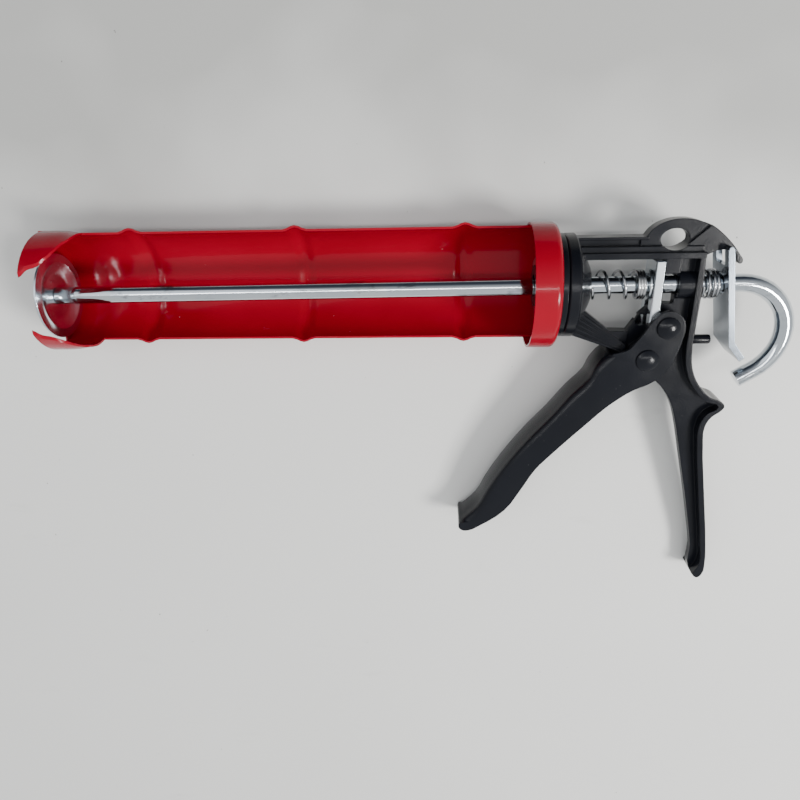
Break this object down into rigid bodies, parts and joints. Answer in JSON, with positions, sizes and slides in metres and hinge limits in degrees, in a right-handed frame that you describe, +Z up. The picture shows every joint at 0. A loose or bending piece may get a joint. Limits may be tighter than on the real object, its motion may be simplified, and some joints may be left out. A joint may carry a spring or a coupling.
{
  "type": "caulking gun",
  "caption": "Half-round caulking gun with swivelling trough, hooked push rod, squeeze trigger, sprung drive plate and thumb release",
  "frame": {"origin": "middle of the bounding box's base, on the surface the gun lies on", "axes": "+X runs along the barrel from the nozzle end to the hook, +Y from the handle's tip towards the hanging hole, +Z up out of the gun's side"},
  "size_m": [0.3428, 0.182, 0.0555],
  "materials": {
    "red_enamel_cradle": "gloss enamel",
    "red_enamel_rear_cap": "gloss enamel",
    "black_powder_coat_swivel_plate": "semi-gloss powder coat",
    "bright_zinc_swivel_washer": "bright zinc plate",
    "bright_zinc_head_nut": "bright zinc plate",
    "black_powder_coat_frame_casting": "semi-gloss powder coat",
    "black_powder_coat_stop_peg": "semi-gloss powder coat",
    "bronze_pivot_bush": "plain bearing bronze",
    "spring_steel_main_spring": "drawn spring wire",
    "spring_steel_release_spring": "drawn spring wire",
    "bright_zinc_push_rod": "bright zinc plate",
    "bright_zinc_plunger_disc": "bright zinc plate",
    "bright_zinc_plunger_washer": "bright zinc plate",
    "bright_zinc_plunger_nut": "bright zinc plate",
    "black_powder_coat_trigger": "semi-gloss powder coat",
    "black_powder_coat_pivot_rivet": "semi-gloss powder coat",
    "black_powder_coat_drive_rivet": "semi-gloss powder coat",
    "bright_zinc_cheek_washer_near": "bright zinc plate",
    "bright_zinc_cheek_washer_far": "bright zinc plate",
    "bright_zinc_drive_roller_near": "bright zinc plate",
    "bright_zinc_drive_roller_far": "bright zinc plate",
    "bright_zinc_drive_plate": "bright zinc plate",
    "bright_zinc_spring_seat": "bright zinc plate",
    "bright_zinc_release_plate": "bright zinc plate"
  },
  "bodies": {
    "frame": {"frame_casting": "black_powder_coat_frame_casting", "stop_peg": "black_powder_coat_stop_peg", "swivel_plate": "black_powder_coat_swivel_plate", "swivel_washer": "bright_zinc_swivel_washer", "head_nut": "bright_zinc_head_nut", "pivot_bush": "bronze_pivot_bush", "main_spring": "spring_steel_main_spring", "release_spring": "spring_steel_release_spring"},
    "barrel": {"cradle": "red_enamel_cradle", "rear_cap": "red_enamel_rear_cap"},
    "rod": {"push_rod": "bright_zinc_push_rod", "plunger_disc": "bright_zinc_plunger_disc", "plunger_washer": "bright_zinc_plunger_washer", "plunger_nut": "bright_zinc_plunger_nut"},
    "trigger": {"trigger": "black_powder_coat_trigger", "pivot_rivet": "black_powder_coat_pivot_rivet", "drive_rivet": "black_powder_coat_drive_rivet", "cheek_washer_near": "bright_zinc_cheek_washer_near", "cheek_washer_far": "bright_zinc_cheek_washer_far", "drive_roller_near": "bright_zinc_drive_roller_near", "drive_roller_far": "bright_zinc_drive_roller_far"},
    "drive_plate": {"drive_plate": "bright_zinc_drive_plate", "spring_seat": "bright_zinc_spring_seat"},
    "release_plate": {"release_plate": "bright_zinc_release_plate"}
  },
  "joints": [
    {"name": "barrel_swivel", "type": "hinge", "parent": "frame", "child": "barrel", "pos_m": [0.06402, 0.06228, 0.028], "axis": [1, 0, 0], "continuous": true},
    {"name": "rod_slide", "type": "slide", "parent": "frame", "child": "rod", "axis": [1, 0.0076, 0.0011], "range_m": [0, 0.21]},
    {"name": "trigger_pivot", "type": "hinge", "parent": "frame", "child": "trigger", "pos_m": [0.10602, 0.03029, 0.02358], "axis": [0, -0.137, 0.9906], "range_deg": [0, 34], "stiffness_Nm_per_rad": 0.4, "springref_deg": -28.65},
    {"name": "drive_plate_slide", "type": "slide", "parent": "frame", "child": "drive_plate", "axis": [1, 0, 0], "range_m": [-0.01, 0], "deforming": ["main_spring"]},
    {"name": "release_pivot", "type": "hinge", "parent": "frame", "child": "release_plate", "pos_m": [0.13402, 0.07665, 0.02999], "axis": [0, -0.137, 0.9906], "range_deg": [-6, 0], "stiffness_Nm_per_rad": 0.2, "springref_deg": 17.19, "deforming": ["release_spring"]}
  ],
  "couplings": [
    {"joint": "drive_plate_slide", "follows": "trigger_pivot", "m_per_rad": -0.0162}
  ]
}
